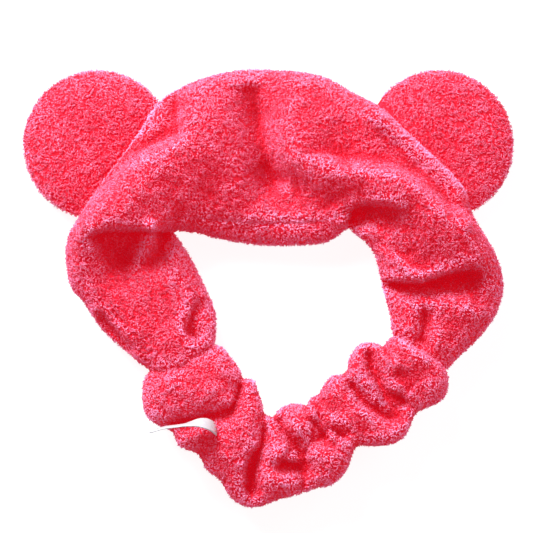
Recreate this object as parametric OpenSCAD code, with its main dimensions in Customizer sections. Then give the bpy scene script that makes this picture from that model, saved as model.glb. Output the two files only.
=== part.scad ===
// Plush spa headband with two round ears and an elastic gathered back, lying on a table as it was put down.
// X runs along the band from the left ear to the right ear, Y from the gathered back to the ears, Z up from the table.

/* [Fleece] */
// Thickness of the fleece, pile included
cloth_t = 3; // [2.5:0.25:3.5]
// Gap left where two pieces of cloth lie against each other
cloth_gap = 0.3; // [0.3:0.1:0.6]

/* [Front band] */
// Distance of each closing seam from the folded edge beside it
seam_inset = 8; // [6:1:10]
// Height by which the middle of the laid band stands above its two edges
band_crown = 11; // [6:1:13]

/* [Ears] */
// Diameter of an ear
ear_d = 76; // [72:1:80]
// Thickness of a padded ear
ear_t = 15; // [13:0.5:16]
// Distance between the middle of the left ear and its sewn root
left_root = 15.5; // [14:0.5:17]
// Distance between the middle of the right ear and its sewn root
right_root = 7; // [6:0.5:9]

/* [Gathered back] */
// Width of the gathered sleeve over its rolls
sleeve_w = 46; // [42:1:48]
// Height of the gathered sleeve over its rolls
sleeve_h = 30; // [28:1:36]
// Share of a roll's radius that is left in the creases beside it
crease = 0.76; // [0.7:0.02:0.85]
// Width of the elastic inside the sleeve
elastic_w = 15; // [12:1:16]
// Thickness of the elastic
elastic_t = 1.6; // [1.2:0.1:2]

/* [Label] */
// Width of the folded satin label
label_w = 10; // [8:1:12]
// Length of the label that shows
label_len = 34; // [28:1:38]
// Thickness of the folded label
label_t = 0.5; // [0.4:0.1:0.8]

/* [Stitches] */
// Diameter of the sewing thread
thread_d = 0.6; // [0.4:0.1:0.8]
// Length of thread that shows in one stitch
stitch_len = 2.6; // [2:0.2:3]

/* [Hidden] */
fleece = [0.93, 0.24, 0.36];
thread = [0.85, 0.18, 0.28];
satin = [0.94, 0.94, 0.93];

// The laid band, from its left end by way of the ears to its right end.
// inner_edge is the folded edge beside the head opening, and outer_edge the one that the ears are sewn to.
inner_edge = [
    [-27, -38, 15], [-29, -18, 11], [-32, 2, 9], [-42, 19, 10], [-51, 28, 13], [-48, 29, 11],
    [-36, 27, 8], [-18, 24, 7], [4, 22, 7], [26, 23, 8], [40, 29, 11], [47, 27, 11],
    [56, 16, 10], [59, 0, 10], [65, -20, 11], [69, -32, 15]
];
outer_edge = [
    [-56, -54, 15], [-78, -23, 11], [-97, -4, 10], [-105, 16, 13], [-102, 31, 17], [-82, 59, 19],
    [-59, 91, 18], [-32, 110, 12], [4, 114, 8], [37, 106, 12], [64, 90, 18], [92, 63, 19],
    [110, 34, 16], [121, 4, 11], [118, -17, 10], [93, -47, 15]
];
// Half thickness of the flattened tube, and share of the full crown, at each of those places
half_t = [8, 9, 8.5, 8, 7.5, 7, 6, 6, 6, 6, 7, 7.5, 8, 9, 9, 8];
crown_share = [0, 0.2, 0.4, 0.8, 1, 1, 1, 1, 1, 1, 1, 0.9, 0.7, 0.5, 0.3, 0];

// Folds in the laid band: [line that the fold follows, height, half width]
folds = [
    [[[-40, 84], [-56, 73], [-80, 54], [-99, 33]], 5, 10],    // ridge beside the left ear
    [[[-18, 100], [-4, 80], [6, 52]], -4, 11],                // hollow across the forehead
    [[[18, 68], [40, 62], [64, 58], [84, 47], [102, 33]], 4, 10],  // ridge beside the right ear
    [[[55, 43]], -4, 11],                                     // hollow under that ridge
    [[[-98, 33], [-64, 33]], 3, 9],                           // lip over the left pocket
    [[[-77, 15]], -4, 11],                                    // left pocket
    [[[60, 12], [80, 10], [108, 11]], 3, 9],                  // lip over the right crease
    [[[58, -3], [80, -2], [106, 0]], -3, 9]                   // right crease
];

// Middle line of the gathered sleeve from the left end of the band to the right one
sleeve_path = [
    [-43, -44, 15.2], [-36, -54, 15.2], [-26, -69, 15.2], [-13, -83, 15.2], [2, -90, 15.2], [18, -86, 15.2],
    [34, -76, 15.2], [49, -65, 15.2], [63, -55, 15.2], [75, -47, 15.2], [81, -38.5, 15.2]
];
roll_count = 10;

band_steps = 54;
sleeve_steps = 60;
sleeve_sides = 18;
left_ear_at = [-90, 75];
right_ear_at = [90, 75];
left_ear_turn = 145;
right_ear_turn = 40;
root_half_t = 3.1;
ear_mid_z = 6;
label_root_at = [-29, -74, 36];

// ---- curves ----
// Smooth curve through a list of points, t from 0 to the list's last index
function at(list, t) =
    let (last = len(list) - 1, i = min(max(floor(t), 0), last - 1), f = t - i,
         a = list[max(i - 1, 0)], b = list[i], c = list[i + 1], d = list[min(i + 2, last)])
    b + f * ((c - a) / 2 + f * ((2 * a - 5 * b + 4 * c - d) / 2 + f * (3 * b - a - 3 * c + d) / 2));
function unit(v) = v / norm(v);
function clamp(x, low, high) = min(max(x, low), high);
// Distance in plan from p to the piece of line a-b, and to a line of several pieces
function off_piece(p, a, b) =
    let (d = b - a, t = clamp((p - a) * d / (d * d), 0, 1)) norm(p - a - t * d);
function off_line(p, line) =
    len(line) == 1 ? norm(p - line[0])
    : min([for (i = [0:len(line) - 2]) off_piece(p, line[i], line[i + 1])]);
function total(list, i = 0) = i >= len(list) ? 0 : list[i] + total(list, i + 1);
function fold_height(p) = total([for (f = folds) f[1] * exp(-pow(off_line(p, f[0]) / f[2], 2))]);

// ---- laid band ----
// Middle surface of the flattened tube: u along the band, s across it from -1 to 1
function middle(u, s) =
    let (p = at(inner_edge, u) * (1 - s) / 2 + at(outer_edge, u) * (1 + s) / 2,
         rise = band_crown * at(crown_share, u) * (1 - s * s))
    [p[0], p[1], max(p[2] + rise + fold_height([p[0], p[1]]), at(half_t, u) + 0.2)];
function edge_share(u) = 1 - 2 * at(half_t, u) / norm(at(outer_edge, u) - at(inner_edge, u));
// Point of the tube's wall at depth below its outer face; turn goes round an edge from top (90) to bottom (-90)
function wall(u, s, turn, depth) =
    let (e = 0.02, m = middle(u, s),
         along = middle(u + e, s) - middle(u - e, s),
         across = unit(middle(u, s + e) - middle(u, s - e)),
         up = unit(cross(along, across)), h = at(half_t, u) - depth,
         p = m + (up * sin(turn) + across * sign(s) * cos(turn)) * h)
    [p[0], p[1], max(p[2], depth + 0.05)];
// Places round the section: [share of the flat part, turn]; each panel covers one run of them
function top_run(u, a, b, n) = [for (i = [0:n]) [edge_share(u) * (a + (b - a) * i / n), 90]];
function low_run(u, a, b, n) = [for (i = [0:n]) [edge_share(u) * (a + (b - a) * i / n), -90]];
function edge_run(u, side, from, to) = [for (i = [1:3]) [edge_share(u) * side, from + (to - from) * i / 4]];
function seam_share(u) = 1 - 2 * seam_inset / norm(at(outer_edge, u) - at(inner_edge, u)) * 1.4;
function gap_share(u) = 2 * cloth_gap / norm(at(outer_edge, u) - at(inner_edge, u));
function outer_run(u) = concat(
    top_run(u, -seam_share(u) + gap_share(u), 1, 8), edge_run(u, 1, 90, -90),
    low_run(u, 1, seam_share(u) + gap_share(u), 2));
function inner_run(u) = concat(
    low_run(u, seam_share(u) - gap_share(u), -1, 8), edge_run(u, -1, -90, 90),
    top_run(u, -1, -seam_share(u) - gap_share(u), 2));
band_us = [for (i = [0:band_steps]) (len(half_t) - 1) * i / band_steps];

// Closed solid between two grids of points of the same size
module between(outside, inside) {
    rows = len(outside);
    cols = len(outside[0]);
    points = [for (g = [outside, inside]) for (row = g) for (p = row) p];
    function id(g, i, j) = g * rows * cols + i * cols + j;
    function quad(a, b, c, d) = [[a, b, c], [a, c, d]];
    faces = concat(
        [for (i = [0:rows - 2]) for (j = [0:cols - 2])
            each quad(id(0, i, j), id(0, i, j + 1), id(0, i + 1, j + 1), id(0, i + 1, j))],
        [for (i = [0:rows - 2]) for (j = [0:cols - 2])
            each quad(id(1, i, j), id(1, i + 1, j), id(1, i + 1, j + 1), id(1, i, j + 1))],
        [for (i = [0:rows - 2]) each quad(id(0, i, 0), id(0, i + 1, 0), id(1, i + 1, 0), id(1, i, 0))],
        [for (i = [0:rows - 2])
            each quad(id(0, i + 1, cols - 1), id(0, i, cols - 1), id(1, i, cols - 1), id(1, i + 1, cols - 1))],
        [for (j = [0:cols - 2]) each quad(id(0, 0, j + 1), id(0, 0, j), id(1, 0, j), id(1, 0, j + 1))],
        [for (j = [0:cols - 2])
            each quad(id(0, rows - 1, j), id(0, rows - 1, j + 1), id(1, rows - 1, j + 1), id(1, rows - 1, j))]
    );
    polyhedron(points, faces, convexity = 10);
}
// Front face of the band, turned over the ear-side edge to the seam behind it
module outer_panel() {
    color(fleece) between(
        [for (u = band_us) [for (r = outer_run(u)) wall(u, r[0], r[1], 0)]],
        [for (u = band_us) [for (r = outer_run(u)) wall(u, r[0], r[1], cloth_t)]]);
}
// Back face of the band, turned over the edge beside the opening to the seam in front
module inner_panel() {
    color(fleece) between(
        [for (u = band_us) [for (r = inner_run(u)) wall(u, r[0], r[1], 0)]],
        [for (u = band_us) [for (r = inner_run(u)) wall(u, r[0], r[1], cloth_t)]]);
}

// ---- stitches ----
// One straight stitch, centred on p and lying along dir
module stitch(p, dir, length = stitch_len) {
    d = unit(dir);
    translate(p) rotate([0, acos(d[2]), atan2(d[1], d[0])])
        cylinder(h = length, d = thread_d, center = true, $fn = 16);
}
module seam_row(side, turn, count) {
    for (i = [0:count - 1]) {
        u = (len(half_t) - 1) * (i + 0.5) / count;
        s = side * seam_share(u);
        stitch(wall(u, s, turn, 1), wall(u + 0.05, s, turn, 1) - wall(u - 0.05, s, turn, 1));
    }
}
// Rows that close the tube: below the visible face's edge, and behind the ears' edge
module lower_seam_stitches() { color(thread) seam_row(-1, 90, 60); }
module upper_seam_stitches() { color(thread) seam_row(1, -90, 76); }
// Stitches through both panels where a root of an ear is caught, from one place along the band to another
module root_row(from, to, count) {
    for (i = [0:count - 1]) {
        u = from + (to - from) * i / (count - 1);
        s = seam_share(u) + 3 * gap_share(u);
        stitch(wall(u, s, -90, 1.2), wall(u, s + 0.05, -90, 1.2) - wall(u, s - 0.05, -90, 1.2), 1.8);
    }
}
module left_root_stitches() { color(thread) root_row(4.3, 6, 14); }
module right_root_stitches() { color(thread) root_row(10, 11.7, 14); }
// Ring of stitches that closes the sleeve's mouth on one end of the band
module join_ring(u) {
    ring = concat(outer_run(u), inner_run(u));
    for (i = [0:2:len(ring) - 2]) {
        a = wall(u, ring[i][0], ring[i][1], 1.2);
        b = wall(u, ring[i + 1][0], ring[i + 1][1], 1.2);
        if (norm(b - a) > 1) stitch((a + b) / 2, b - a, min(stitch_len, norm(b - a)));
    }
}
module left_join_stitches() { color(thread) join_ring(0.12); }
module right_join_stitches() { color(thread) join_ring(len(half_t) - 1.12); }

// ---- ears ----
// Half outline of an ear: a low dome on top, and a face flattened by the table beneath
function ear_top(inset) = [for (a = [0:6:90])
    [(ear_d / 2 - inset) * pow(cos(a), 0.8), ear_mid_z + (ear_t - ear_mid_z - inset) * pow(sin(a), 0.8)]];
function ear_low(inset) = [for (a = [0:6:90])
    [(ear_d / 2 - inset) * pow(cos(a), 0.6),
     ear_mid_z - (ear_mid_z - inset) * min(1, 1.15 * pow(sin(a), 0.7))]];
// Side outline of the root: a thin round edge on the hinge line that opens into the padded ear
module root_outline(half, start) {
    polygon(concat(
        [for (a = [90:15:270]) [start + half * cos(a), ear_mid_z + half * sin(a)]],
        [[start + 26, ear_mid_z - half - 12], [start + 90, ear_mid_z - half - 12],
         [start + 90, ear_mid_z + half + 12], [start + 26, ear_mid_z + half + 12]]));
}
module ear_body(root, inset) {
    half = root_half_t - 0.9 * inset;
    intersection() {
        rotate_extrude($fn = 96) polygon(concat([[0, ear_mid_z]], ear_top(inset)));
        translate([-root, 60, 0]) rotate([90, 0, 0]) linear_extrude(120) root_outline(half, 1.3 * inset);
    }
    intersection() {
        rotate_extrude($fn = 96) polygon(concat([[0, ear_mid_z]], ear_low(inset)));
        translate([-root, 60, 0]) rotate([90, 0, 0]) linear_extrude(120) root_outline(half, 1.3 * inset);
    }
}
module above_mid(z) { translate([-60, -60, z]) cube([120, 120, 40]); }
module below_mid(z) { translate([-60, -60, z - 40]) cube([120, 120, 40]); }
module place_ear(at_xy, turn) { translate([at_xy[0], at_xy[1], 0]) rotate(turn) children(); }
module ear_shell(root) {
    difference() {
        ear_body(root, 0);
        ear_body(root, cloth_t);
    }
}
module ear_front(root) { intersection() { ear_shell(root); above_mid(ear_mid_z + 0.05); } }
module ear_back(root) { intersection() { ear_shell(root); below_mid(ear_mid_z - 0.05); } }
module ear_padding(root) { ear_body(root, cloth_t + 0.15); }
// Stitches round the rim, through both faces
module ear_rim(root) {
    reach = acos(-root / (ear_d / 2 - 1.5)) - 6;
    count = 44;
    for (i = [0:count - 1]) {
        a = -reach + 2 * reach * i / (count - 1);
        p = (ear_d / 2 - 1.5) * [cos(a), sin(a), 0] + [0, 0, ear_mid_z];
        stitch(p, [-sin(a), cos(a), 0]);
    }
}
module left_ear_front() { color(fleece) place_ear(left_ear_at, left_ear_turn) ear_front(left_root); }
module left_ear_back() { color(fleece) place_ear(left_ear_at, left_ear_turn) ear_back(left_root); }
module left_ear_padding() { color("white") place_ear(left_ear_at, left_ear_turn) ear_padding(left_root); }
module left_ear_stitches() { color(thread) place_ear(left_ear_at, left_ear_turn) ear_rim(left_root); }
module right_ear_front() { color(fleece) place_ear(right_ear_at, right_ear_turn) ear_front(right_root); }
module right_ear_back() { color(fleece) place_ear(right_ear_at, right_ear_turn) ear_back(right_root); }
module right_ear_padding() { color("white") place_ear(right_ear_at, right_ear_turn) ear_padding(right_root); }
module right_ear_stitches() { color(thread) place_ear(right_ear_at, right_ear_turn) ear_rim(right_root); }

// ---- gathered back ----
sleeve_last = len(sleeve_path) - 1;
sleeve_ts = [for (i = [0:sleeve_steps]) sleeve_last * i / sleeve_steps];
function sleeve_dir(t) = unit(at(sleeve_path, t + 0.05) - at(sleeve_path, t - 0.05));
// A roll is round along the path and meets its neighbours in a crease; the ends close in on the band
function roll_size(t, a) =
    let (k = t / sleeve_last * roll_count + 0.25 * cos(a + 130 * t), f = abs(2 * (k - floor(k)) - 1),
         inward = clamp((min(t, sleeve_last - t) - 0.25) / 0.5, 0, 1), depth = (1 - crease) * inward)
    1 - depth + depth * sqrt(max(0, 1 - f * f));
function sleeve_point(t, a, depth) =
    let (d = sleeve_dir(t), side = unit(cross(d, [0, 0, 1])), up = cross(side, d), size = roll_size(t, a),
         p = at(sleeve_path, t) + side * (sleeve_w / 2 * size - depth) * cos(a)
             + up * (sleeve_h / 2 * size - depth) * sin(a))
    [p[0], p[1], max(p[2], 0.05 + depth)];
// Wall of a tube between an outer and an inner set of rings
module ring_wall(outside, inside) {
    rows = len(outside);
    cols = len(outside[0]);
    points = [for (g = [outside, inside]) for (row = g) for (p = row) p];
    function id(g, i, j) = g * rows * cols + i * cols + j % cols;
    function quad(a, b, c, d) = [[a, b, c], [a, c, d]];
    faces = concat(
        [for (i = [0:rows - 2]) for (j = [0:cols - 1])
            each quad(id(0, i, j), id(0, i, j + 1), id(0, i + 1, j + 1), id(0, i + 1, j))],
        [for (i = [0:rows - 2]) for (j = [0:cols - 1])
            each quad(id(1, i, j), id(1, i + 1, j), id(1, i + 1, j + 1), id(1, i, j + 1))],
        [for (j = [0:cols - 1]) each quad(id(0, 0, j + 1), id(0, 0, j), id(1, 0, j), id(1, 0, j + 1))],
        [for (j = [0:cols - 1])
            each quad(id(0, rows - 1, j), id(0, rows - 1, j + 1), id(1, rows - 1, j + 1), id(1, rows - 1, j))]
    );
    polyhedron(points, faces, convexity = 10);
}
sleeve_as = [for (j = [0:sleeve_sides - 1]) 360 * j / sleeve_sides];
module gathered_sleeve() {
    color(fleece) ring_wall(
        [for (t = sleeve_ts) [for (a = sleeve_as) sleeve_point(t, a, 0)]],
        [for (t = sleeve_ts) [for (a = sleeve_as) sleeve_point(t, a, cloth_t)]]);
}
// Flat woven elastic along the middle of the sleeve
function strip_corner(t, across, up) =
    let (d = sleeve_dir(t), side = unit(cross([0, 0, 1], d)))
    at(sleeve_path, t) + side * across * elastic_t / 2 + [0, 0, up * elastic_w / 2];
module elastic_strip() {
    ts = [for (i = [0:30]) sleeve_last * (0.06 + 0.88 * i / 30)];
    color("white") between(
        [for (t = ts) [strip_corner(t, 1, 1), strip_corner(t, 1, -1)]],
        [for (t = ts) [strip_corner(t, -1, 1), strip_corner(t, -1, -1)]]);
}

// ---- label ----
// The satin ribbon stands on its edge and bows away from its sewn end
function label_bow(x) = 4 * sin(150 * x / label_len);
module care_label() {
    steps = 16;
    spine = [for (i = [0:steps]) [-label_len * i / steps, label_bow(label_len * i / steps)]];
    color(satin) translate(label_root_at - [0, 0, label_w / 2]) linear_extrude(label_w) polygon(concat(
        [for (p = spine) p + [0, label_t / 2]],
        [for (i = [steps:-1:0]) spine[i] - [0, label_t / 2]]));
}
module label_stitches() {
    color(thread) for (z = [-3.2, 0, 3.2]) stitch(label_root_at + [-1.5, 0.2, z], [0.2, 1, 0], 1.6);
}

outer_panel();
inner_panel();
lower_seam_stitches();
upper_seam_stitches();
left_ear_front();
left_ear_back();
left_ear_padding();
left_ear_stitches();
right_ear_front();
right_ear_back();
right_ear_padding();
right_ear_stitches();
left_root_stitches();
right_root_stitches();
left_join_stitches();
right_join_stitches();
gathered_sleeve();
elastic_strip();
care_label();
label_stitches();
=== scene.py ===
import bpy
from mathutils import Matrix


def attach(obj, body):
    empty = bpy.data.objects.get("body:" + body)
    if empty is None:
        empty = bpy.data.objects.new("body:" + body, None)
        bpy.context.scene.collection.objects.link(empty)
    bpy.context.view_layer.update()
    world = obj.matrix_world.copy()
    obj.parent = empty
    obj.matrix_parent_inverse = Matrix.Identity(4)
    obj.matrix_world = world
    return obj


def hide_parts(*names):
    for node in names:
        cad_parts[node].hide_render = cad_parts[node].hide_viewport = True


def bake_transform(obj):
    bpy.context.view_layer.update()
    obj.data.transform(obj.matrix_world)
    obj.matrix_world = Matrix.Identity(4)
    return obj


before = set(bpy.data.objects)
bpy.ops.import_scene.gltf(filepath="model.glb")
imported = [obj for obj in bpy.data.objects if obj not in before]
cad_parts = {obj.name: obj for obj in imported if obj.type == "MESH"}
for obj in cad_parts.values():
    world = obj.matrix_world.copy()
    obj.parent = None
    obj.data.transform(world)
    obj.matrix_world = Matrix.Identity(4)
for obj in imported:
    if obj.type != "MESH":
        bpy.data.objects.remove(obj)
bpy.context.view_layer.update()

import math
import bmesh
import bpy
import numpy as np

MM = 0.001

# ---- Camera ----
# The headband is looked at from straight above, from well over a metre away, with the ears at the top of
# the view.
camera_data = bpy.data.cameras.new("camera")
camera_data.lens = 156.0
camera_data.sensor_width = 36.0
camera = bpy.data.objects.new("camera", camera_data)
camera.location = (-0.001, 0.0112, 1.215)
bpy.context.scene.collection.objects.link(camera)
bpy.context.scene.camera = camera

# ---- Table and studio light ----
# A white light table in a room with bright walls and a dim ceiling, so that almost no shadow falls beside
# the headband. A broad soft lamp beyond the ears, to the left, rakes over the folds, and a weaker one beyond
# the right ear lights the rims on that side.
def plain_sheet(name, half, z):
    """A level square, half metres to each side of the origin, at height z."""
    mesh = bpy.data.meshes.new(name)
    corners = [(-half, -half, z), (half, -half, z), (half, half, z), (-half, half, z)]
    mesh.from_pydata(corners, [], [(0, 1, 2, 3)])
    sheet = bpy.data.objects.new(name, mesh)
    bpy.context.scene.collection.objects.link(sheet)
    return sheet


class Amount:
    """A number that varies over a surface. Arithmetic on it adds Math nodes to its material."""

    def __init__(self, finish, socket):
        self.finish, self.socket = finish, socket

    def do(self, operation, a, b):
        made = self.finish.node("ShaderNodeMath", {"operation": operation}, {0: a, 1: b})
        return Amount(self.finish, made.outputs[0])

    def __add__(self, other):
        return self.do("ADD", self, other)

    def __sub__(self, other):
        return self.do("SUBTRACT", self, other)

    def __mul__(self, other):
        return self.do("MULTIPLY", self, other)


class Finish:
    """A material being mixed. Its surface node is self.surface, and node() adds any other."""

    def __init__(self, name, **fixed):
        self.material = bpy.data.materials.new(name)
        self.material.use_nodes = True
        self.tree = self.material.node_tree
        self.surface = next(n for n in self.tree.nodes if n.type == "BSDF_PRINCIPLED")
        for socket, value in fixed.items():
            self.surface.inputs[socket.replace("_", " ").title().replace("Ior", "IOR")].default_value = value

    def link(self, value, socket):
        source = value.socket if isinstance(value, Amount) else value
        if isinstance(source, bpy.types.NodeSocket):
            self.tree.links.new(source, socket)
        else:
            socket.default_value = source

    def node(self, kind, settings=None, inputs=None):
        """A node of that kind. Its settings come first, then the values or links of its sockets."""
        made = self.tree.nodes.new(kind)
        for name, value in (settings or {}).items():
            if name == "stops":
                ramp = made.color_ramp
                while len(ramp.elements) < len(value):
                    ramp.elements.new(0.5)
                for element, (place, colour) in zip(ramp.elements, value):
                    element.position, element.color = place, (*colour, 1.0)
            else:
                setattr(made, name, value)
        for name, value in (inputs or {}).items():
            self.link(value, made.inputs[name])
        return made

    def amount(self, kind, settings=None, inputs=None, output=0):
        return Amount(self, self.node(kind, settings, inputs).outputs[output])

    def noise(self, scale, detail=2.0, rough=0.5, stretch=(1, 1, 1)):
        """Soft random patches in object space, scale of them to the metre."""
        where = self.node("ShaderNodeTexCoord").outputs["Object"]
        if stretch != (1, 1, 1):
            where = self.node("ShaderNodeMapping", {}, {"Vector": where, "Scale": stretch}).outputs[0]
        values = {"Vector": where, "Scale": scale, "Detail": detail, "Roughness": rough}
        return self.amount("ShaderNodeTexNoise", {}, values)

    def paint(self, amount, stops):
        """Colours the surface by an amount that runs from one stop's colour to the next."""
        ramp = self.node("ShaderNodeValToRGB", {"stops": stops}, {"Fac": amount})
        self.link(ramp.outputs[0], self.surface.inputs["Base Color"])

    def bump(self, height, distance, strength=1.0):
        made = self.node("ShaderNodeBump", {}, {"Height": height, "Distance": distance, "Strength": strength})
        self.link(made.outputs[0], self.surface.inputs["Normal"])


table_paint = Finish("light_table", roughness=0.9, specular_ior_level=0.1, emission_color=(1, 1, 1, 1),
                     emission_strength=0.90)
table_paint.paint(table_paint.noise(30), [(0.3, (0.24, 0.24, 0.245)), (0.7, (0.26, 0.26, 0.26))])
table = plain_sheet("table", 4.0, 0.0)
table.data.materials.append(table_paint.material)

room = bpy.data.worlds.new("room")
room.use_nodes = True
sky = room.node_tree.nodes["Background"]
height_in_room = room.node_tree.nodes.new("ShaderNodeSeparateXYZ")
walls = room.node_tree.nodes.new("ShaderNodeValToRGB")
walls.color_ramp.elements[0].position, walls.color_ramp.elements[0].color = 0.0, (0.85, 0.85, 0.85, 1)
walls.color_ramp.elements[1].position, walls.color_ramp.elements[1].color = 0.7, (0.14, 0.14, 0.14, 1)
directions = room.node_tree.nodes.new("ShaderNodeTexCoord")
room.node_tree.links.new(directions.outputs["Generated"], height_in_room.inputs[0])
room.node_tree.links.new(height_in_room.outputs["Z"], walls.inputs[0])
room.node_tree.links.new(walls.outputs[0], sky.inputs["Color"])
bpy.context.scene.world = room
bpy.context.scene.view_settings.view_transform = "Standard"


def soft_lamp(name, place, power, size):
    """A square lamp of that size, facing the middle of the table."""
    lamp = bpy.data.lights.new(name, "AREA")
    lamp.energy, lamp.size = power, size
    holder = bpy.data.objects.new(name, lamp)
    holder.location = place
    x, y, z = place
    holder.rotation_euler = (math.atan2(math.hypot(x, y), z), 0, math.atan2(x, -y))
    bpy.context.scene.collection.objects.link(holder)


soft_lamp("far_lamp", (-0.50, 0.88, 0.60), 30.0, 0.6)
soft_lamp("right_lamp", (0.9, 0.5, 0.5), 5.0, 0.8)


# ---- Front band: shape ----
# The band is a flattened tube of two fleece panels, about 9 cm wide. It lies folded over at both sides, so
# that its two ends come round towards each other. Both closing seams sink into the pile.
def smooth_line(points, count):
    """A smooth curve through a list of points, as count places: between two points it is the cubic whose
    slope at each of them is half the step from the point before to the point after."""
    points = np.asarray(points, float)
    t = np.linspace(0, len(points) - 1, count)
    i = np.clip(np.floor(t).astype(int), 0, len(points) - 2)
    f = (t - i)[:, None]
    a, b = points[np.maximum(i - 1, 0)], points[i]
    c, d = points[i + 1], points[np.minimum(i + 2, len(points) - 1)]
    return b + f * ((c - a) / 2 + f * ((2 * a - 5 * b + 4 * c - d) / 2 + f * (3 * b - a - 3 * c + d) / 2))


def waves(p, size, seed, count=26):
    """Soft random unevenness from about -1 to 1: the sum of sine waves about size millimetres long in random
    directions through the points p."""
    random = np.random.default_rng(seed)
    way = random.normal(size=(count, 3))
    length = size * random.uniform(0.7, 1.6, (count, 1))
    way *= 2 * math.pi / length / np.linalg.norm(way, axis=1, keepdims=True)
    total = np.zeros(p.shape[:-1])
    for k, phase in zip(way, random.uniform(0, 6.28, count)):
        total += np.sin(p @ k + phase)
    return total / math.sqrt(count / 2) * 0.6


def beside(xy, line):
    """Signed distance in plan from each point to a line (positive on its left), and how far along the line
    each nearest place is, from 0 to 1."""
    places = 60
    path = smooth_line(line, places) if len(line) > 2 else np.linspace(line[0], line[-1], places)
    gaps = xy[..., None, :] - path
    near = np.argmin((gaps ** 2).sum(-1), axis=-1)
    way = np.gradient(path, axis=0)
    way /= np.linalg.norm(way, axis=1, keepdims=True) + 1e-9
    off = np.take_along_axis(gaps, near[..., None, None], -2)[..., 0, :]
    side = way[near][..., 0] * off[..., 1] - way[near][..., 1] * off[..., 0]
    return np.linalg.norm(off, axis=-1) * np.sign(side + 1e-9), near / (places - 1)


def fold(xy, line, height, left, right, fade=0.0):
    """A ridge (or, with a negative height, a hollow) along a line: a bell curve across it, with its own
    width on the left and on the right of the line. It can fade in over a first share of the line."""
    off, along = beside(xy, line)
    ridge = height * np.exp(-(off / np.where(off > 0, left, right)) ** 2)
    return ridge * (np.clip(along / fade, 0, 1) if fade else 1)


def lap(xy, line, up, down, reach, sharp=1.3, ends=0.12):
    """An edge of cloth lying over what is beside it. The left of the line rises by up and its right sinks
    by down, both fading over reach, and the edge fades out at the line's ends."""
    off, along = beside(xy, line)
    edge = np.tanh(off / sharp)
    fade = np.exp(-np.abs(off) / reach) * np.clip(np.minimum(along, 1 - along) / ends, 0, 1)
    return (up * np.maximum(edge, 0) + down * np.minimum(edge, 0)) * fade


hole_side = [
    (-30, -38, 15), (-28.5, -27, 13), (-28.5, -13, 11), (-34, 0.5, 10), (-40, 13, 10), (-46, 23, 12),
    (-50, 29, 14), (-48, 30.6, 14), (-43, 30.2, 12), (-36, 29.5, 10), (-28, 27, 8.5), (-20, 25.3, 8),
    (-10, 23.7, 7.5), (0, 22.9, 7.5), (10, 22.9, 7.5), (20, 23.3, 8), (30, 24.6, 9), (37, 29, 11),
    (42, 31.5, 12), (47, 27.5, 12), (52, 23.6, 11), (56, 18, 10), (58.2, 10, 10), (59.8, 2, 10),
    (61.7, -5, 10), (64, -13, 11), (65, -22, 13), (69, -32, 15)]
ear_side = [
    (-50, -53, 15), (-62, -42, 13.5), (-84, -23.5, 11), (-95, -8, 10), (-102.6, 2, 11), (-104.6, 17, 13),
    (-103, 27, 16), (-98, 35.5, 18), (-88, 51, 19), (-77, 66, 19), (-66, 81, 18), (-55, 97.6, 15),
    (-36, 107.6, 11), (-15, 112.9, 8.5), (7, 112.8, 8), (27, 109.8, 10), (44, 100.8, 14), (57.5, 93, 18),
    (71.5, 80, 20), (86, 66.5, 20), (100, 52, 19), (106.2, 36, 16), (116.8, 18.5, 12), (121.6, 3, 10),
    (118.5, -12, 10), (109, -25.5, 11), (97.5, -36.5, 13), (86, -49, 15)]
# Half the thickness of the band's edges, and how far its middle rises above them. Both run from the left end
# through the left turn, the forehead and the right turn to the right end.
half_thick = [9, 9, 8.5, 8, 8, 8, 7.5, 7, 7, 7, 6.5, 6, 6, 6, 6, 6, 6.5, 7, 7.5, 8, 8, 8, 8, 8.5, 9, 9, 9, 9]
crown = [2, 4, 6, 8, 9, 10, 10, 11, 11, 11, 11, 11, 11, 10, 10, 11, 11, 11, 10, 9, 8, 7, 6, 6, 5, 4, 3, 2]
seam_in = 11.5
band_rows = 420
hole_line, ear_line = smooth_line(hole_side, band_rows), smooth_line(ear_side, band_rows)
thick_line = smooth_line(np.c_[half_thick, crown], band_rows)


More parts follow.
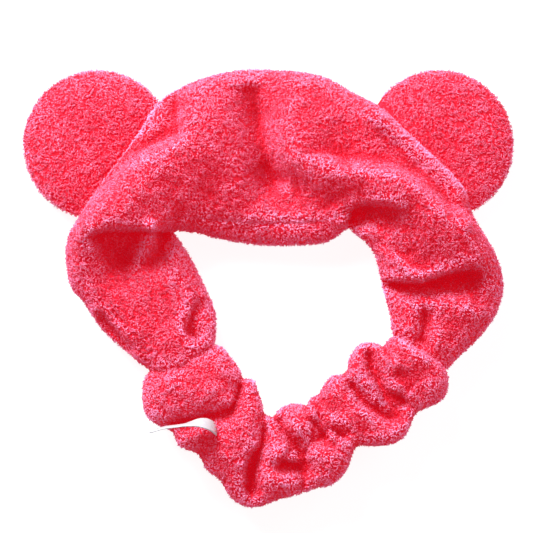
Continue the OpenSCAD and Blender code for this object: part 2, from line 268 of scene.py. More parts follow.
def pressed(xy):
    """How far the folds lift or sink the upper face of the band at each point."""
    return (
        # fold towards the left ear, and the step down from it to the strip in front of the ear
        fold(xy, [(-34, 108), (-34, 92), (-36, 79), (-46, 70), (-59, 63), (-69, 55), (-78, 46), (-87, 38),
                  (-94, 31)], 6.5, 17, 9)
        + lap(xy, [(-45, 107), (-45, 92), (-45, 79), (-54, 73.5), (-64, 69), (-74, 61), (-84, 51), (-94, 41)],
              1, 10, 12, 1.8)
        + fold(xy, [(-47.5, 107), (-47.5, 92), (-47.5, 81), (-56, 76), (-66, 71), (-76, 63), (-86, 53)],
               -2.5, 4, 7)
        # long dent from the top of the forehead, running out to the right below the next fold
        + fold(xy, [(-8, 107), (-7, 98), (-4, 80), (-1, 66), (3, 57)], -13, 6, 10, 0.36)
        + fold(xy, [(-4, 68), (4, 57), (17, 51), (32, 47), (46, 46)], -7, 9, 13, 0.3)
        + fold(xy, [(11, 108), (11, 92), (11, 77), (14, 66)], 5, 20, 6)
        # fold that runs to the right turn, the hollow above it and the rolled rim beyond
        + fold(xy, [(8, 63), (20, 60), (30, 58.5), (48, 57), (60, 55.5), (68, 52.5), (77, 47), (88, 38.5),
                    (98, 31), (110, 23)], 7, 8, 14, 0.5)
        + fold(xy, [(38, 67), (54, 66), (65, 64.5), (73, 60.5), (83, 53), (93, 44)], -9, 15, 4)
        + fold(xy, [(52, 93), (65, 82), (80, 70), (90, 60.5), (97, 51), (101, 41), (103, 34)], 4.5, 4, 4.5)
        # pocket of the right turn, under the forehead's edge
        + lap(xy, [(40, 31), (41, 37), (43, 42), (50, 44.3), (60, 44), (70, 41)], 4, 12, 9, 1.0)
        + fold(xy, [(46, 38), (56, 38), (66, 35)], -4, 5, 8)
        + fold(xy, [(84, 28), (95, 20)], 3, 12, 12)
        # pocket of the left turn, with a pleat across it
        + lap(xy, [(-94, 27), (-86, 30.5), (-77, 31.4), (-67, 31.2), (-59, 30.6), (-48, 31)], 5, 16, 11, 1.0)
        + fold(xy, [(-78, 19), (-76, 14)], -11, 12, 13)
        + fold(xy, [(-71, 7), (-64, 20), (-60, 30)], 6, 4, 3.6, 0.7)
        + fold(xy, [(-65, 8), (-58, 19), (-53, 29)], -7, 4, 5.5, 0.5)
        # left leg: a hollow beside the opening, and a lip and a dark gap at its outer edge
        + lap(xy, [(-35, -29), (-41, -26), (-44, -21), (-41, -12), (-37, -3)], 1.5, 7, 8, 1.0)
        + fold(xy, [(-90, -13), (-80, -18.5), (-73, -26.5), (-67, -37)], 5.5, 3.2, 2.0)
        + fold(xy, [(-86, -14), (-79.5, -21.5), (-72, -31)], -13, 2.4, 3.4)
        + fold(xy, [(-79, -15), (-71, -25), (-62, -38)], -3, 3, 3)
        # right leg: a thin fold, a deep gap under the turn, and the folds below it
        + fold(xy, [(57, 20), (65, 15), (73, 8.5), (79, 4.8)], 4, 2.2, 2.6)
        + lap(xy, [(57, 6), (70, 4.3), (79, 4.4), (86, 6.5), (92, 8.8), (100, 10.4), (112, 11)],
              5, 17, 9, 1.0)
        + fold(xy, [(58, 0.5), (74, 0), (88, 2), (105, 7)], -7, 4, 5.5)
        + fold(xy, [(61, -2.5), (76, -3.8), (90, -6), (102, -8)], 4.5, 3, 10)
        + fold(xy, [(81.5, -14), (81, -19), (80, -27)], -7, 4, 4.5)
        + fold(xy, [(110.5, -17), (101, -32)], -3.5, 2, 2)
        # the forehead's lower edge hangs over its seam
        + lap(xy, [(-24, 32), (-11, 33.9), (2, 34.4), (16, 34.4), (30, 34.5), (40, 36)], 1.6, 0.4, 4, 0.8)
    )


def band_place(u, s, turn):
    """The band's surface. u counts rows along it, s runs across from -1 at the opening to 1 at the ears, and
    turn goes round the rolled edges from 90 (upper face) to -90 (lower face). Height is the edge's own
    height, plus half the thickness times the sine of turn, plus a parabola across the width, plus the folds
    on the upper face. Close to both ends the upper face drops, where the sleeve's rolls begin, and no point
    comes lower than lowest."""
    faded_rows, left_rows, right_rows = 18, 40, 20
    left_drop, left_soft, right_drop = 6.5, 1.6, 9
    lowest = 1.4
    row = np.clip(np.round(u).astype(int), 0, band_rows - 1)
    inner, outer = hole_line[row], ear_line[row]
    half, rise = thick_line[row, 0], thick_line[row, 1]
    width = np.linalg.norm((outer - inner)[..., :2], axis=-1)
    flat = 1 - 2 * half / width
    lift = np.sin(np.radians(turn))
    across = np.sign(s) * (flat + (1 - flat) * np.cos(np.radians(turn)))
    across = np.where(np.abs(turn) >= 89.9, s * flat, across)
    p = inner * ((1 - across) / 2)[..., None] + outer * ((1 + across) / 2)[..., None]
    top, low = np.maximum(lift, 0), np.maximum(-lift, 0)
    arch = 1 - across ** 2
    z = p[..., 2] + half * lift + rise * arch * (top + 0.25 * low + 0.2 * (1 - top - low))
    from_right = band_rows - 1 - row
    ends = np.clip(np.minimum(row, from_right) / faded_rows, 0, 1)
    sewn = beside(p[..., :2], [(-64, -42), (-54, -44.5), (-44.5, -41), (-38, -35.5), (-27, -29)])[0]
    at_left = left_drop * (1 - np.tanh(sewn / left_soft))
    at_right = right_drop * np.clip(1 - from_right / right_rows, 0, 1)
    drop = np.where(row < left_rows, at_left, at_right)
    z = z + top * (pressed(p[..., :2]) * ends - drop)
    z = z + top * (0.7 * waves(p, 16, 3) + 0.3 * waves(p, 6, 4))
    return np.stack([p[..., 0], p[..., 1], np.maximum(z, lowest)], -1)


def band_run(parts):
    """Grid of the band's surface: rows along the band, and across them one run of places after another."""
    rows = np.arange(band_rows)[:, None]
    s_all, turn_all = [], []
    for s, turn in parts:
        s_all.append(np.broadcast_to(s, (band_rows, np.shape(s)[1])))
        turn_all.append(np.broadcast_to(turn, s_all[-1].shape))
    s, turn = np.concatenate(s_all, 1), np.concatenate(turn_all, 1)
    return np.broadcast_to(rows, s.shape), s, turn


def steps(a, b, n, ends=(0, 0)):
    """n places from a to b, for each row of the band. ends says how many places are left out at each end."""
    f = np.linspace(0, 1, n)[ends[0]:n - ends[1]]
    return np.asarray(a)[..., None] * (1 - f) + np.asarray(b)[..., None] * f


one = np.ones(band_rows)
band_width = np.linalg.norm((ear_line - hole_line)[:, :2], axis=1)
flat_share = 1 - 2 * thick_line[:, 0] / band_width
seam_share = (1 - 2 * seam_in / band_width) / flat_share
seam_share = np.minimum(seam_share, 0.97)


def round_edge(side, start, end):
    """The run of places round one rolled edge, between two values of turn."""
    return steps(side * one, side * one, 12, (1, 1)), steps(start * one, end * one, 12, (1, 1))


front_parts = band_run([
    (steps(-seam_share, one, 110), 90), round_edge(1, 90, -90), (steps(one, seam_share, 14), -90)])
back_parts = band_run([
    (steps(seam_share, -one, 60), -90), round_edge(-1, -90, 90), (steps(-one, -seam_share, 16), 90)])


def lay_cloth(parts, thickness):
    """Outer and inner face of one panel. Towards both of its seams the cloth sinks in along a bell curve,
    deepest at the forehead, where the seam shows as a dark line."""
    forehead_row, forehead_reach, groove, lowest = 214, 46, 1.4, 1.0
    u, s, turn = parts
    outside = band_place(u, s, turn)
    run = np.cumsum(np.linalg.norm(np.diff(outside, axis=1, prepend=outside[:, :1]), axis=-1), axis=1)
    edge = np.minimum(run, run[:, -1:] - run)
    deep = 0.7 + 1.5 * np.exp(-((u - forehead_row) / forehead_reach) ** 4)
    outside[..., 2] -= np.sin(np.radians(turn)) * deep * np.exp(-(edge / groove) ** 2)
    outside[..., 2] = np.maximum(outside[..., 2], lowest)
    inside = outside - facing(outside) * thickness
    inside[..., 2] = np.maximum(inside[..., 2], lowest)
    return outside, inside


def facing(grid):
    """Unit normals of a grid of points: the cross product of its two directions at each point."""
    along = np.gradient(grid, axis=0)
    across = np.gradient(grid, axis=1)
    way = np.cross(along, across)
    return way / (np.linalg.norm(way, axis=-1, keepdims=True) + 1e-12)


def put_mesh(name, points, faces):
    """A mesh object from points in millimetres and faces of four (or three) corners each."""
    mesh = bpy.data.meshes.new(name)
    faces = np.asarray(faces)
    mesh.vertices.add(len(points))
    mesh.vertices.foreach_set("co", (np.asarray(points, np.float32) * MM).ravel())
    mesh.loops.add(faces.size)
    mesh.loops.foreach_set("vertex_index", faces.astype(np.int32).ravel())
    mesh.polygons.add(len(faces))
    mesh.polygons.foreach_set("loop_start", np.arange(len(faces), dtype=np.int32) * faces.shape[1])
    mesh.update(calc_edges=True)
    mesh.shade_smooth()
    piece = bpy.data.objects.new(name, mesh)
    bpy.context.scene.collection.objects.link(piece)
    return piece


def quads(rows, cols, first=0, round_cols=False):
    """Corner numbers of the faces between neighbouring rows and columns of a grid of points."""
    i, j = np.meshgrid(np.arange(rows - 1), np.arange(cols if round_cols else cols - 1), indexing="ij")
    k = (j + 1) % cols
    corners = [i * cols + j, (i + 1) * cols + j, (i + 1) * cols + k, i * cols + k]
    return np.stack(corners, -1).reshape(-1, 4) + first


def panel(name, outside, inside):
    """A closed piece of cloth between two grids of the same size."""
    rows, cols = outside.shape[:2]
    n = rows * cols
    numbers = np.arange(n).reshape(rows, cols)
    rim = []
    for a in (numbers[0], numbers[:, -1], numbers[-1, ::-1], numbers[::-1, 0]):
        b = a + n
        rim.append(np.stack([a[:-1], a[1:], b[1:], b[:-1]], -1))
    faces = np.concatenate([quads(rows, cols), quads(rows, cols, n)[:, ::-1], *rim])
    return put_mesh(name, np.concatenate([outside.reshape(-1, 3), inside.reshape(-1, 3)]), faces)


cloth_thick = 1.6
front_out, front_in = lay_cloth(front_parts, cloth_thick)
back_out, back_in = lay_cloth(back_parts, cloth_thick)
front_cloth = panel("front_panel", front_out[::2], front_in[::2])
back_cloth = panel("back_panel", back_out[::2], back_in[::2])

# ---- Front band: coral fleece ----
# Dyed microfibre fleece with a short curly pile. The knitted ground is coloured a deeper coral than the
# curls: painted shade, for where it shows between them. The curls are coloured paler and a little violet at
# their tips: partly their own colour, partly painted highlight. A weak red glow stands in for light scattered
# between the fibres: painted light.
glow = {"emission_color": (1.0, 0.004, 0.02, 1), "emission_strength": 0.30}
ground = Finish("fleece_ground", roughness=0.9, specular_ior_level=0.15, sheen_weight=0.3,
                sheen_roughness=0.5, sheen_tint=(1.0, 0.5, 0.75, 1), **glow)
# The ground's deep coral is painted shade where it shows between the curls. The noise varies it at random and
# bumps it.
curl = ground.noise(900, 2.0, 0.6)
ground.paint(curl, [(0.35, (0.60, 0.005, 0.018)), (0.65, (0.62, 0.022, 0.055))])
ground.bump(curl, 0.0009, 0.8)

pile_finish = Finish("fleece_pile", roughness=0.75, specular_ior_level=0.25, sheen_weight=0.8,
                     sheen_roughness=0.3, sheen_tint=(0.95, 0.5, 1.0, 1), **glow)
# The curls' colour runs from deep coral at the root to a pale violet pink at the tip. This is painted shade
# at the roots and painted highlight at the tips, over their own coral. The second attribute adds a random
# tone for each curl and the crest measure: painted highlight on crests and rims, painted shade in creases.
# The noise adds soft random patches.
tip = pile_finish.amount("ShaderNodeAttribute", {"attribute_name": "tip"}, output=2)
lot = pile_finish.amount("ShaderNodeAttribute", {"attribute_name": "lot"}, output=2)
patch = pile_finish.noise(55, 2.0)
shade = tip * 0.55 + lot * 0.55 + patch * 0.2 - 0.07
pile_finish.paint(shade, [(0.0, (0.58, 0.005, 0.018)), (0.45, (0.62, 0.040, 0.090)),
                          (1.0, (0.80, 0.46, 0.76))])


def crests(grid, k=4):
    """How strongly a grid of points bulges outwards, after its small unevenness is smoothed away: how far a
    point stands above the middle between its neighbours k steps away, over the square of half their
    distance, summed over the grid's two directions. It is positive on rims and folds and negative in
    creases."""
    for _ in range(12):
        wide = np.pad(grid, ((1, 1), (1, 1), (0, 0)), mode="edge")
        grid = 0.2 * (grid + wide[2:, 1:-1] + wide[:-2, 1:-1] + wide[1:-1, 2:] + wide[1:-1, :-2])
    wide = np.pad(grid, ((k, k), (k, k), (0, 0)), mode="edge")
    normal, total = facing(grid), 0
    lengthwise = (wide[2 * k:, k:-k], wide[:-2 * k, k:-k])
    crosswise = (wide[k:-k, 2 * k:], wide[k:-k, :-2 * k])
    for after, before in (lengthwise, crosswise):
        height = (normal * (grid - (after + before) / 2)).sum(-1)
        total = total + height / (0.25 * ((after - before) ** 2).sum(-1) + 0.5)
    return np.clip(4.6 * total, -0.5, 0.75)


def pile(name, grid, count, seed, crest, length=1.8, high=0.9, thick=0.30):
    """Curls of pile on a grid of points. Each curl is a tapering worm with three sides: it rises out of the
    cloth, bends over in its own direction along the cloth, swerves sideways and ends in a point. Places are
    drawn at random with equal chances for equal areas. Some curls stand up more than others. Those on a
    crest or rim are coloured paler, a painted highlight, and those in a crease darker, a painted shade."""
    random = np.random.default_rng(seed)
    a, b = grid[:-1, :-1], grid[1:, 1:]
    c, d = grid[1:, :-1], grid[:-1, 1:]
    area = np.linalg.norm(np.cross(b - a, c - d), axis=-1).ravel()
    cell = np.searchsorted(np.cumsum(area) / area.sum(), random.uniform(size=count))
    i, j = np.unravel_index(np.minimum(cell, area.size - 1), a.shape[:2])
    f, g = random.uniform(size=(2, count, 1))
    normal = facing(grid)

    def at_curls(q):
        """The grid's values at the curls, weighed between the four corners of their cells."""
        near = q[i, j] * (1 - f) + q[i + 1, j] * f
        beyond = q[i, j + 1] * (1 - f) + q[i + 1, j + 1] * f
        return near * (1 - g) + beyond * g

    place, up = at_curls(grid), at_curls(normal)
    up /= np.linalg.norm(up, axis=1, keepdims=True) + 1e-9
    along = grid[i + 1, j] - grid[i, j]
    along -= up * (along * up).sum(1, keepdims=True)
    along /= np.linalg.norm(along, axis=1, keepdims=True) + 1e-9
    sideways = np.cross(up, along)
    angle = 5.0 * waves(place, 14, seed + 1)[:, None] + random.normal(0, 0.9, (count, 1))
    way = along * np.cos(angle) + sideways * np.sin(angle)
    side = np.cross(up, way)
    size = random.uniform(0.65, 1.25, (count, 1))
    swerve = random.normal(0, 0.40, (count, 1))
    lift = random.uniform(0.5, 1.2, (count, 1)) * high
    stand = random.uniform(0.0, 1.0, (count, 1)) ** 1.5
    spine = []
    for x, z, y in ((0.0, 0.0, 0.0), (0.40, 0.95, 0.8), (1.0, 0.85, -0.6)):
        forward = way * length * size * x * (1 - 0.6 * stand)
        upward = up * (lift * (z + 1.25 * stand * x) - 0.2)
        spine.append(place + forward + upward + side * swerve * y)
    rings = []
    for k, wide in enumerate((0.75, 1.0)):
        run = spine[k + 1] - spine[max(k - 1, 0)]
        run /= np.linalg.norm(run, axis=1, keepdims=True)
        over = np.cross(run, side)
        over /= np.linalg.norm(over, axis=1, keepdims=True) + 1e-9
        for corner in range(3):
            t = 2 * math.pi * corner / 3 + 0.5
            rings.append(spine[k] + (side * math.cos(t) + over * math.sin(t)) * thick * wide * np.sqrt(size))
    points = np.stack([*rings, spine[2]], 1)
    points[..., 2] = np.maximum(points[..., 2], 0.08)
    one_curl = np.array([(0, 1, 4), (0, 4, 3), (1, 2, 5), (1, 5, 4), (2, 0, 3), (2, 3, 5), (3, 4, 6),
                         (4, 5, 6), (5, 3, 6), (0, 2, 1)])
    faces = (one_curl[None] + np.arange(count)[:, None, None] * 7).reshape(-1, 3)
    piece = put_mesh(name, points.reshape(-1, 3), faces)
    # The second attribute is a random tone for each curl plus the crest measure, which paints highlight on
    # crests and rims and shade in creases.
    for label, value in (("tip", np.tile([0.0] * 3 + [0.6] * 3 + [1.0], count)),
                         ("lot", np.repeat(0.5 * random.uniform(size=count) + crest[i, j], 7))):
        piece.data.attributes.new(label, "FLOAT", "POINT").data.foreach_set("value", value.astype(np.float32))
    piece.data.materials.append(pile_finish.material)
    return piece


def area_of(grid):
    """The area of a grid of points: half the length of the product of the diagonals, over all its cells."""
    a, b, c, d = grid[:-1, :-1], grid[1:, 1:], grid[1:, :-1], grid[:-1, 1:]
    return np.linalg.norm(np.cross(b - a, c - d), axis=-1).sum() / 2


pile_density = 1.45


def pile_in_parts(name, grid, crest, cuts, seed):
    """Pile on a grid of points, in one piece between each pair of neighbouring cuts across it."""
    made = []
    for k in range(len(cuts) - 1):
        cut = slice(cuts[k], cuts[k + 1] + 1)
        count = int(pile_density * area_of(grid[cut]))
        made.append(pile(f"{name}_{k + 1}", grid[cut], count, seed + k, crest[cut]))
    return made


five_parts, three_parts = [0, 84, 168, 252, 336, 419], [0, 140, 280, 419]
front_pile = pile_in_parts("front_pile", front_out, crests(front_out), five_parts, 20)
back_pile = pile_in_parts("back_pile", back_out, crests(back_out), three_parts, 30)
for cloth in (front_cloth, back_cloth):
    cloth.data.materials.append(ground.material)
for piece in (front_cloth, back_cloth, *front_pile, *back_pile):
    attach(piece, "band")
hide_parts("outer_panel")
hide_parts("inner_panel")


# ---- Ears ----
# Each ear is two round discs of the same fleece, sewn round the rim and lightly filled. Its straight root is
# caught in the band's upper seam, and the ear lies on the table behind the band. Each place is the ear's
# centre, the direction it points in and the distance of its root from its centre.
ear_r = 38.4
under_seam = 2.2
clear_of_root = 9
ear_places = {"left": ((-89.2, 74.8), 145, 16.5), "right": ((89.2, 74.9), 40, 11.5)}


def ear_face(side, upper, shrink=0.0, rows=111, cols=121):
    """One face of an ear. Rows run from the root to the far rim and columns from side to side. The height
    over the middle plane is a flattened dome: (1 - distance^3)^0.55 on the upper face and
    (1 - distance^4.5)^0.5 on the lower one, where distance is the share of the radius. It is thinned towards
    the root, where the middle plane climbs to the seam."""
    centre, turn, root = ear_places[side]
    reach = ear_r - shrink
    start = math.acos(-min(root + under_seam - shrink, reach - 1) / reach)
    x = reach * np.cos(np.linspace(start, 0, rows))[:, None]
    y = np.sqrt(np.maximum(reach ** 2 - x ** 2, 0)) * np.cos(np.linspace(math.pi, 0, cols))[None, :]
    x = x + 0 * y
    far = np.minimum(np.hypot(x, y) / reach, 1)
    near_root = np.clip((x + root + under_seam) / 24, 0, 1)
    thin = 0.30 + 0.70 * near_root * (2 - near_root)
    middle = 6.2 + 3.2 * np.clip(1 - (x + root + 2) / 13, 0, 1) ** 2
    dome = (1 - far ** 3.0) ** 0.55 if upper else (1 - far ** 4.5) ** 0.5
    flat = np.stack([x, y, 0 * x], -1)
    puff = 0.5 * waves(flat, 26, 60 + len(side)) + 0.25 * waves(flat, 9, 61)
    high = (7.6 - 0.5 * shrink + puff) if upper else -(4.7 - shrink * 0.5)
    z = middle + high * dome * thin
    a = math.radians(turn)
    east = centre[0] + x * math.cos(a) - y * math.sin(a)
    north = centre[1] + x * math.sin(a) + y * math.cos(a)
    return np.stack([east, north, z], -1)


def weld(piece):
    """Joins the points that lie on each other at the piece's ends and poles."""
    shape = bmesh.new()
    shape.from_mesh(piece.data)
    bmesh.ops.remove_doubles(shape, verts=shape.verts, dist=0.02 * MM)
    shape.to_mesh(piece.data)
    shape.free()


filling = Finish("white_filling", base_color=(0.9, 0.9, 0.9, 1), roughness=0.95)
filling.paint(filling.noise(300, 4), [(0.3, (0.84, 0.84, 0.84)), (0.7, (0.93, 0.93, 0.93))])
filling.bump(filling.noise(700, 4), 0.001)
front_thick, back_thick = 1.3, 1.0
pad_inset, pad_rows, pad_cols = 2.6, 40, 50

for side in ("left", "right"):
    front = ear_face(side, True)
    back = ear_face(side, False)[:, ::-1]
    body = f"{side}_ear"
    front_disc = panel(f"{side}_ear_front_disc", front[::2, ::2], front[::2, ::2] - [0, 0, front_thick])
    back_disc = panel(f"{side}_ear_back_disc", back[::2, ::2], back[::2, ::2] + [0, 0, back_thick])
    upper_pad = ear_face(side, True, pad_inset, pad_rows, pad_cols)
    lower_pad = ear_face(side, False, pad_inset, pad_rows, pad_cols)[:, ::-1]
    pads = np.concatenate([upper_pad, lower_pad], 1)
    stuffing = put_mesh(f"{side}_ear_filling", pads.reshape(-1, 3),
                        quads(pad_rows, 2 * pad_cols, round_cols=True))
    stuffing.data.materials.append(filling.material)
    weld(stuffing)
    shape = bmesh.new()
    shape.from_mesh(stuffing.data)
    bmesh.ops.holes_fill(shape, edges=shape.edges)
    shape.to_mesh(stuffing.data)
    shape.free()
    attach(stuffing, body)
    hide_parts(f"{side}_ear_padding")
    for piece, node, grid, seed in ((front_disc, "front", front, 40), (back_disc, "back", back, 50)):
        piece.data.materials.append(ground.material)
        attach(piece, body)
        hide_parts(f"{side}_ear_{node}")
        grid, crest = grid[clear_of_root:], crests(grid)[clear_of_root:]
        count = int(pile_density * area_of(grid))
        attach(pile(f"{side}_ear_{node}_pile", grid, count, seed + len(side), crest), body)

# ---- Gathered sleeve ----
# A fleece tube far longer than the elastic inside it. It bunches up into fat, skewed rolls with deep creases
# between them, and its mouths are sewn to the pleated ends of the band.
sleeve_hole_side = [
    (-28.5, -30.5), (-24.5, -31.5), (-19.5, -37.5), (-15.5, -43), (-14, -47.5), (-8, -49), (-6, -55),
    (-4, -60.5), (-3, -65.5), (0, -67.5), (3.5, -67.5), (6, -64), (10, -61.5), (16, -61), (20, -62),
    (22.5, -58), (27, -55.5), (29.5, -51), (33.5, -46.5), (39.5, -45.5), (42, -42), (43, -36), (48, -30),
    (55, -29.5), (59.5, -31.5), (61.5, -29.5), (63, -27.5), (64.5, -26.3), (66, -25)]
sleeve_far_side = [
    (-61, -43), (-64, -49), (-64.5, -57.5), (-62.5, -66), (-56.5, -70.5), (-49, -74.5), (-45.5, -81.5),
    (-36, -85.5), (-31.5, -93.5), (-24, -99.5), (-19.5, -107.5), (-11.5, -112.5), (-3.5, -112),
    (6.5, -108.5), (16, -106), (25, -103), (33, -101), (39.5, -94.5), (43, -85), (46, -81), (53, -81),
    (62.5, -80.5), (70, -76.5), (74, -68), (77, -63.5), (85, -60), (91, -55.5), (92.5, -47), (89.5, -40)]
sleeve_rows, sleeve_cols = 420, 150
sleeve_middle, sleeve_high = 15.5, 14.4
near_line = smooth_line(sleeve_hole_side, sleeve_rows)
away_line = smooth_line(sleeve_far_side, sleeve_rows)


def crease(xy, line, deep, sharp=2.2, wide=6.5):
    """The hollow where two rolls meet along a line: a narrow bell curve in a wide, shallower one. At its
    ends it fades to three tenths of its depth."""
    off, along = beside(xy, line)
    bell = 0.6 * np.exp(-(off / sharp) ** 2) + 0.4 * np.exp(-(off / wide) ** 2)
    return -deep * bell * np.clip(np.minimum(along, 1 - along) / 0.10, 0.3, 1)


def gathers(xy):
    """How far the creases between the rolls sink below the sleeve's upper face."""
    return (
        crease(xy, [(-14, -47), (-15.5, -54.5), (-18.5, -61), (-27.5, -65), (-36, -66.5), (-46.5, -69),
                    (-55.5, -70.5)], 14)
        + lap(xy, [(-55, -70), (-46, -69), (-36, -67), (-27, -65.5), (-18, -60.5)], 1, 5, 8)
        + crease(xy, [(-2.5, -67), (-3.5, -80), (-8, -86.5), (-10.5, -92.5), (-10.5, -100), (-9.5, -108)],
                 12, 2.4)
        + fold(xy, [(-7, -87), (-8.5, -96), (-8.5, -104)], -7, 3.5, 3.5)
        + lap(xy, [(-9.5, -110), (-10.5, -100), (-10.5, -92.5), (-8, -86.5), (-3.5, -79)], 3, 4, 7)
        + lap(xy, [(21, -88.5), (14, -87.5), (7.5, -86.5)], 3, 8, 6)
        + fold(xy, [(8, -91.5), (18, -92)], -13, 4, 4.5)
        + crease(xy, [(17.5, -88), (18, -96.5), (17.5, -106)], 9, 2.6)
        + crease(xy, [(4, -66), (7.5, -73), (12.5, -79.5), (16, -83.5), (18.5, -88)], 10, 2.2)
        + lap(xy, [(40, -80), (34.5, -76.5), (30, -72.5), (25, -67), (21, -60)], 3, 8, 7)
        + crease(xy, [(20, -77), (29, -79), (37, -80.5)], 7, 3.5)
        + fold(xy, [(24, -69), (29, -75)], -9, 3, 4)
        + crease(xy, [(28, -52), (33, -62), (43, -66), (52, -80)], 3, 5, 10)
        + crease(xy, [(40, -46), (48.5, -57.5), (54.5, -62.5), (59.5, -66), (67, -68)], 15, 2.4)
        + crease(xy, [(52, -31), (52.5, -37.5), (55, -44), (59.5, -52.5), (64.5, -56.5), (74, -61)], 16, 2.4)
        + crease(xy, [(61, -55), (65.5, -63), (70, -69)], 7, 3.0)
        + crease(xy, [(64, -42), (76, -52)], 5, 5.0, 9)
    )


def sleeve_place(row, a):
    """The sleeve's surface at a row along it and an angle round it, in radians (0 on the opening's side, a
    quarter turn on top). In plan it goes between the two side lines with the cosine of the angle, and its
    height over the middle is the size of the sine to the power 0.85, which is a little fuller than an
    ellipse. The height is less at the mouths, and the creases sink into the upper face."""
    left_rows, right_rows, lowest = 32, 20, 1.3
    near, away = near_line[row], away_line[row]
    inward, top = np.cos(a), np.sin(a)
    xy = (near + away) / 2 + (near - away) / 2 * inward[..., None]
    left, right = np.clip(row / left_rows, 0, 1), np.clip((sleeve_rows - 1 - row) / right_rows, 0, 1)
    high = sleeve_high * (0.42 + 0.58 * left ** 2 * (3 - 2 * left) * np.sqrt(right * (2 - right)))
    z = sleeve_middle + high * np.sign(top) * np.abs(top) ** 0.85
    p = np.concatenate([xy, z[..., None]], -1)
    p[..., 2] += top * (1.0 * waves(p, 17, 7) + 0.5 * waves(p, 9, 8) + 0.3 * waves(p, 5, 9))
    p[..., 2] += np.clip(top, 0, 1) * gathers(p[..., :2])
    p[..., 2] = np.maximum(p[..., 2], np.where(top > 0, sleeve_middle + 2.0 * top, lowest))
    return p


rows = np.arange(sleeve_rows)[:, None]
angles = np.linspace(0, 2 * math.pi, sleeve_cols, endpoint=False)[None, ::-1]
sleeve_out = sleeve_place(*np.broadcast_arrays(rows, angles))
wrapped = np.concatenate([sleeve_out[:, -1:], sleeve_out, sleeve_out[:, :1]], 1)
sleeve_in = sleeve_out - facing(wrapped)[:, 1:-1] * cloth_thick
# Rows go along the outer face from the left mouth to the right one and back along the inner face. No faces
# join the last row to the first, so the cloth is not closed at its left mouth. This is a known fault.
both = np.concatenate([sleeve_out, sleeve_in[::-1]])[::2]
sleeve = put_mesh("gathered_sleeve_cloth", both.reshape(-1, 3),
                  quads(len(both), sleeve_cols, round_cols=True))
sleeve.data.materials.append(ground.material)
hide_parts("gathered_sleeve")
closed = np.concatenate([sleeve_out, sleeve_out[:, :1]], 1)
more = 16
widened = np.concatenate([closed[:, -more - 1:-1], closed, closed[:, 1:more + 1]], 1)
sleeve_pile = pile_in_parts("sleeve_pile", closed, crests(widened)[:, more:-more], three_parts, 70)
for piece in (sleeve, *sleeve_pile):
    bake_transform(piece)

# ---- Elastic ----
# A flat woven elastic, about 12 mm wide, runs along the middle of the sleeve on its edge and is sewn to both
# ends of the band. Its rubber cords show as ribs along it.
elastic_white = Finish("woven_elastic", roughness=0.8, sheen_weight=0.2)
rib_tone = elastic_white.noise(1400, 2.0, 0.6, (1, 1, 0.3))
elastic_white.paint(rib_tone, [(0.3, (0.72, 0.72, 0.70)), (0.7, (0.90, 0.90, 0.88))])
elastic_white.bump(rib_tone, 0.0004)
sleeve_path = [
    (-44.5, -40.5), (-42, -50), (-35, -61), (-26, -71.5), (-15.5, -81.5), (-2, -88), (10, -87), (22, -83),
    (32, -77), (42, -69.5), (52.5, -62.5), (62, -54.5), (70, -47.5), (77, -41.5), (81.5, -36)]
strip_rows = smooth_line(sleeve_path, 300)[18:283]
strip_way = np.gradient(strip_rows, axis=0)
strip_way /= np.linalg.norm(strip_way, axis=1, keepdims=True)
half_width, rib_pitch, elastic_level, across_elastic = 6.2, 1.55, 8.2, 49
rib_height = np.linspace(-half_width, half_width, across_elastic)
rib_depth = 0.62 + 0.16 * np.cos(rib_height * 2 * math.pi / rib_pitch)


def strip_face(side):
    """One face of the elastic: the path moved sideways by the ribs' depth, a cosine of the height."""
    off = side * rib_depth[None, :, None] * np.stack([-strip_way[:, 1], strip_way[:, 0]], -1)[:, None]
    level = np.broadcast_to(elastic_level + rib_height[None, :, None], (len(strip_rows), across_elastic, 1))
    return np.concatenate([strip_rows[:, None] + off, level], -1)


elastic = panel("elastic_ribbon", strip_face(-1), strip_face(1))
elastic.data.materials.append(elastic_white.material)
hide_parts("elastic_strip")
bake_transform(elastic)

# ---- Care label ----
# A blank white satin ribbon, 10 mm wide and folded double, caught in the crease between two rolls. It stands
# on its edge, twists open near its root and hangs out over the outside of the sleeve.
satin = Finish("white_satin", base_color=(0.9, 0.9, 0.92, 1), roughness=0.32, specular_ior_level=0.6,
               sheen_weight=0.2, coat_roughness=0.3)
weft = satin.noise(2600, 2.0, 0.5, (0.15, 0.15, 1))
# The white satin is coloured a bluish mid grey, the look it has in shade: painted shade. The weft noise
# varies it at random and bumps it.
satin.paint(weft, [(0.3, (0.44, 0.46, 0.50)), (0.7, (0.58, 0.60, 0.63))])
satin.bump(weft, 0.0002, 0.6)
upper_edge = [
    (-61.5, -73.6, 40), (-52, -71.2, 40), (-43.5, -70.2, 40), (-37.3, -70.0, 40), (-32.6, -71.1, 38.5),
    (-29.6, -72.6, 35.5), (-27.5, -74.6, 31.5), (-26.8, -76, 27.5)]
lower_edge = [
    (-61.9, -73.2, 30), (-52.3, -70.8, 30.1), (-43.8, -69.8, 30.2), (-39.6, -68.3, 30.8),
    (-35.6, -66.8, 31.2), (-31.8, -66.9, 29.2), (-28.6, -68.6, 26.5), (-27.2, -70.4, 22.5)]
along_ribbon = 90
upper_line, lower_line = smooth_line(upper_edge, along_ribbon), smooth_line(lower_edge, along_ribbon)
cross = np.linspace(0, 1, 21)
ribbon = upper_line[:, None] * (1 - cross)[None, :, None] + lower_line[:, None] * cross[None, :, None]
ribbon_way = facing(ribbon)
bow = 0.35 * np.sin(math.pi * cross)[None, :, None] + 0.15 * waves(ribbon, 9, 91)[..., None]
selvedge = (0.19 + 0.07 * np.exp(-(np.minimum(cross, 1 - cross) / 0.06) ** 2))[None, :, None]
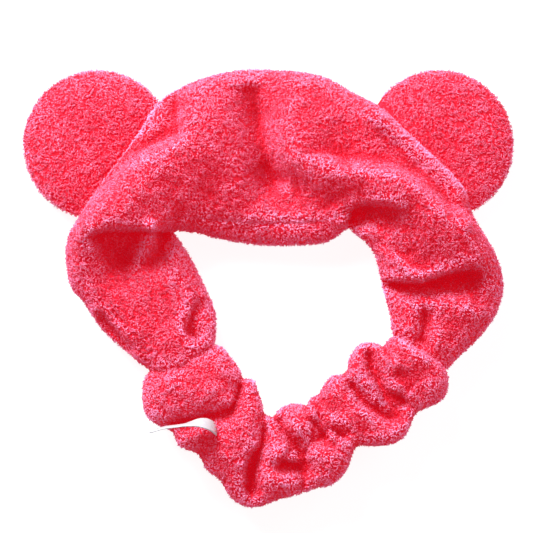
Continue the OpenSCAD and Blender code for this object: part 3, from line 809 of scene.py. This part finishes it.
nearly_end = np.clip(np.arange(along_ribbon) / 3.0, 0.35, 1)[:, None, None]
ribbon = ribbon + ribbon_way * bow
half_ribbon = ribbon_way * selvedge * nearly_end
label = panel("care_label_ribbon", ribbon + half_ribbon, ribbon - half_ribbon)
label.data.materials.append(satin.material)
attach(label, "label")
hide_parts("care_label")

# ---- Stitches ----
# Coral sewing thread. Each stitch is a short soft rod, pulled down into the fleece: two rows that close the
# band, a row round each ear, a row at each ear's root, a ring at each mouth of the sleeve and three stitches
# on the label.
thread_finish = Finish("coral_thread", roughness=0.6, sheen_weight=0.3, sheen_tint=(1, 0.6, 0.7, 1))
ply = thread_finish.noise(3200, 2.0, 0.6)
thread_finish.paint(ply, [(0.3, (0.62, 0.012, 0.040)), (0.7, (0.80, 0.045, 0.095))])
thread_finish.bump(ply, 0.0002)


def stitch_row(name, node, body, middles, ways, length=2.6, radius=0.3):
    """Stitches with six sides, closed to a point at both ends. Along each one the radius is that of a rod
    that narrows to seven tenths near both ends, where it also dips by three tenths of its radius."""
    middles, ways = np.asarray(middles, float), np.asarray(ways, float)
    ways = ways / np.linalg.norm(ways, axis=1, keepdims=True)
    side = np.cross(ways, [0.05, 0.02, 1.0])
    side /= np.linalg.norm(side, axis=1, keepdims=True)
    up = np.cross(side, ways)
    points = [middles - ways * length * 0.5]
    for at, wide in ((-0.44, 0.7), (-0.3, 1.0), (0.3, 1.0), (0.44, 0.7)):
        dip = -radius * (1 - wide)
        for k in range(6):
            t = math.pi * k / 3
            sideways = side * radius * wide * math.cos(t)
            upward = up * (radius * wide * math.sin(t) + dip)
            points.append(middles + ways * length * at + sideways + upward)
    points.append(middles + ways * length * 0.5)
    one = [(0, 1 + (k + 1) % 6, 1 + k) for k in range(6)]
    for ring in range(3):
        for k in range(6):
            a, b = 1 + ring * 6 + k, 1 + ring * 6 + (k + 1) % 6
            one += [(a, b, b + 6), (a, b + 6, a + 6)]
    one += [(25, 19 + k, 19 + (k + 1) % 6) for k in range(6)]
    faces = (np.array(one)[None] + np.arange(len(middles))[:, None, None] * 26).reshape(-1, 3)
    row = put_mesh(name, np.stack(points, 1).reshape(-1, 3), faces)
    row.data.materials.append(thread_finish.material)
    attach(row, body)
    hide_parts(node)


def along_seam(line, count, ends=4):
    """Even places along a line of points, and the line's direction at each."""
    at = np.linspace(ends, len(line) - 1 - ends, count).astype(int)
    return line[at], np.gradient(line, axis=0)[at]


into_pile = [0, 0, 0.2]
lower_seam = along_seam(front_out[:, 0] - into_pile, 60)
upper_seam = along_seam(front_out[:, -1] + into_pile, 76)
stitch_row("lower_seam_thread", "lower_seam_stitches", "band", *lower_seam)
stitch_row("upper_seam_thread", "upper_seam_stitches", "band", *upper_seam)
for side, first, last in (("left", 67, 93), ("right", 156, 182)):
    at = np.linspace(first, last, 14).astype(int)
    stitch_row(f"{side}_root_thread", f"{side}_root_stitches", "band", back_out[at, 3] + [0, 0, 0.3],
               back_out[at, 4] - back_out[at, 2], 1.8)
for side, row in (("left", 2), ("right", band_rows - 3)):
    ring = np.concatenate([front_out[row], back_out[row]])
    far = np.concatenate([[0], np.cumsum(np.linalg.norm(np.diff(ring, axis=0), axis=1))])
    ring = np.stack([np.interp(np.linspace(0, far[-1], 49), far, ring[:, k]) for k in range(3)], -1)
    inset = ring + (ring.mean(0) - ring) * 0.03
    middles = (inset[:-1] + inset[1:])[::2] / 2
    stitch_row(f"{side}_join_thread", f"{side}_join_stitches", "band", middles, np.diff(inset, axis=0)[::2])
for side in ("left", "right"):
    centre, turn, root = ear_places[side]
    reach = math.acos(-root / (ear_r - 1.2)) - 0.1
    t = np.linspace(-reach, reach, 44) + math.radians(turn)
    rim_r, rim_level = ear_r - 0.5, 6.2
    rim = np.stack([centre[0] + rim_r * np.cos(t), centre[1] + rim_r * np.sin(t), 0 * t + rim_level], -1)
    round_rim = np.stack([-np.sin(t), np.cos(t), 0 * t], -1)
    stitch_row(f"{side}_ear_thread", f"{side}_ear_stitches", f"{side}_ear", rim, round_rim)
sewn_row = -14
root_place = ribbon[sewn_row, [4, 10, 16]]
root_way = np.broadcast_to(ribbon_way[sewn_row, 10], (3, 3))
stitch_row("label_thread", "label_stitches", "label", root_place, root_way, 1.6)
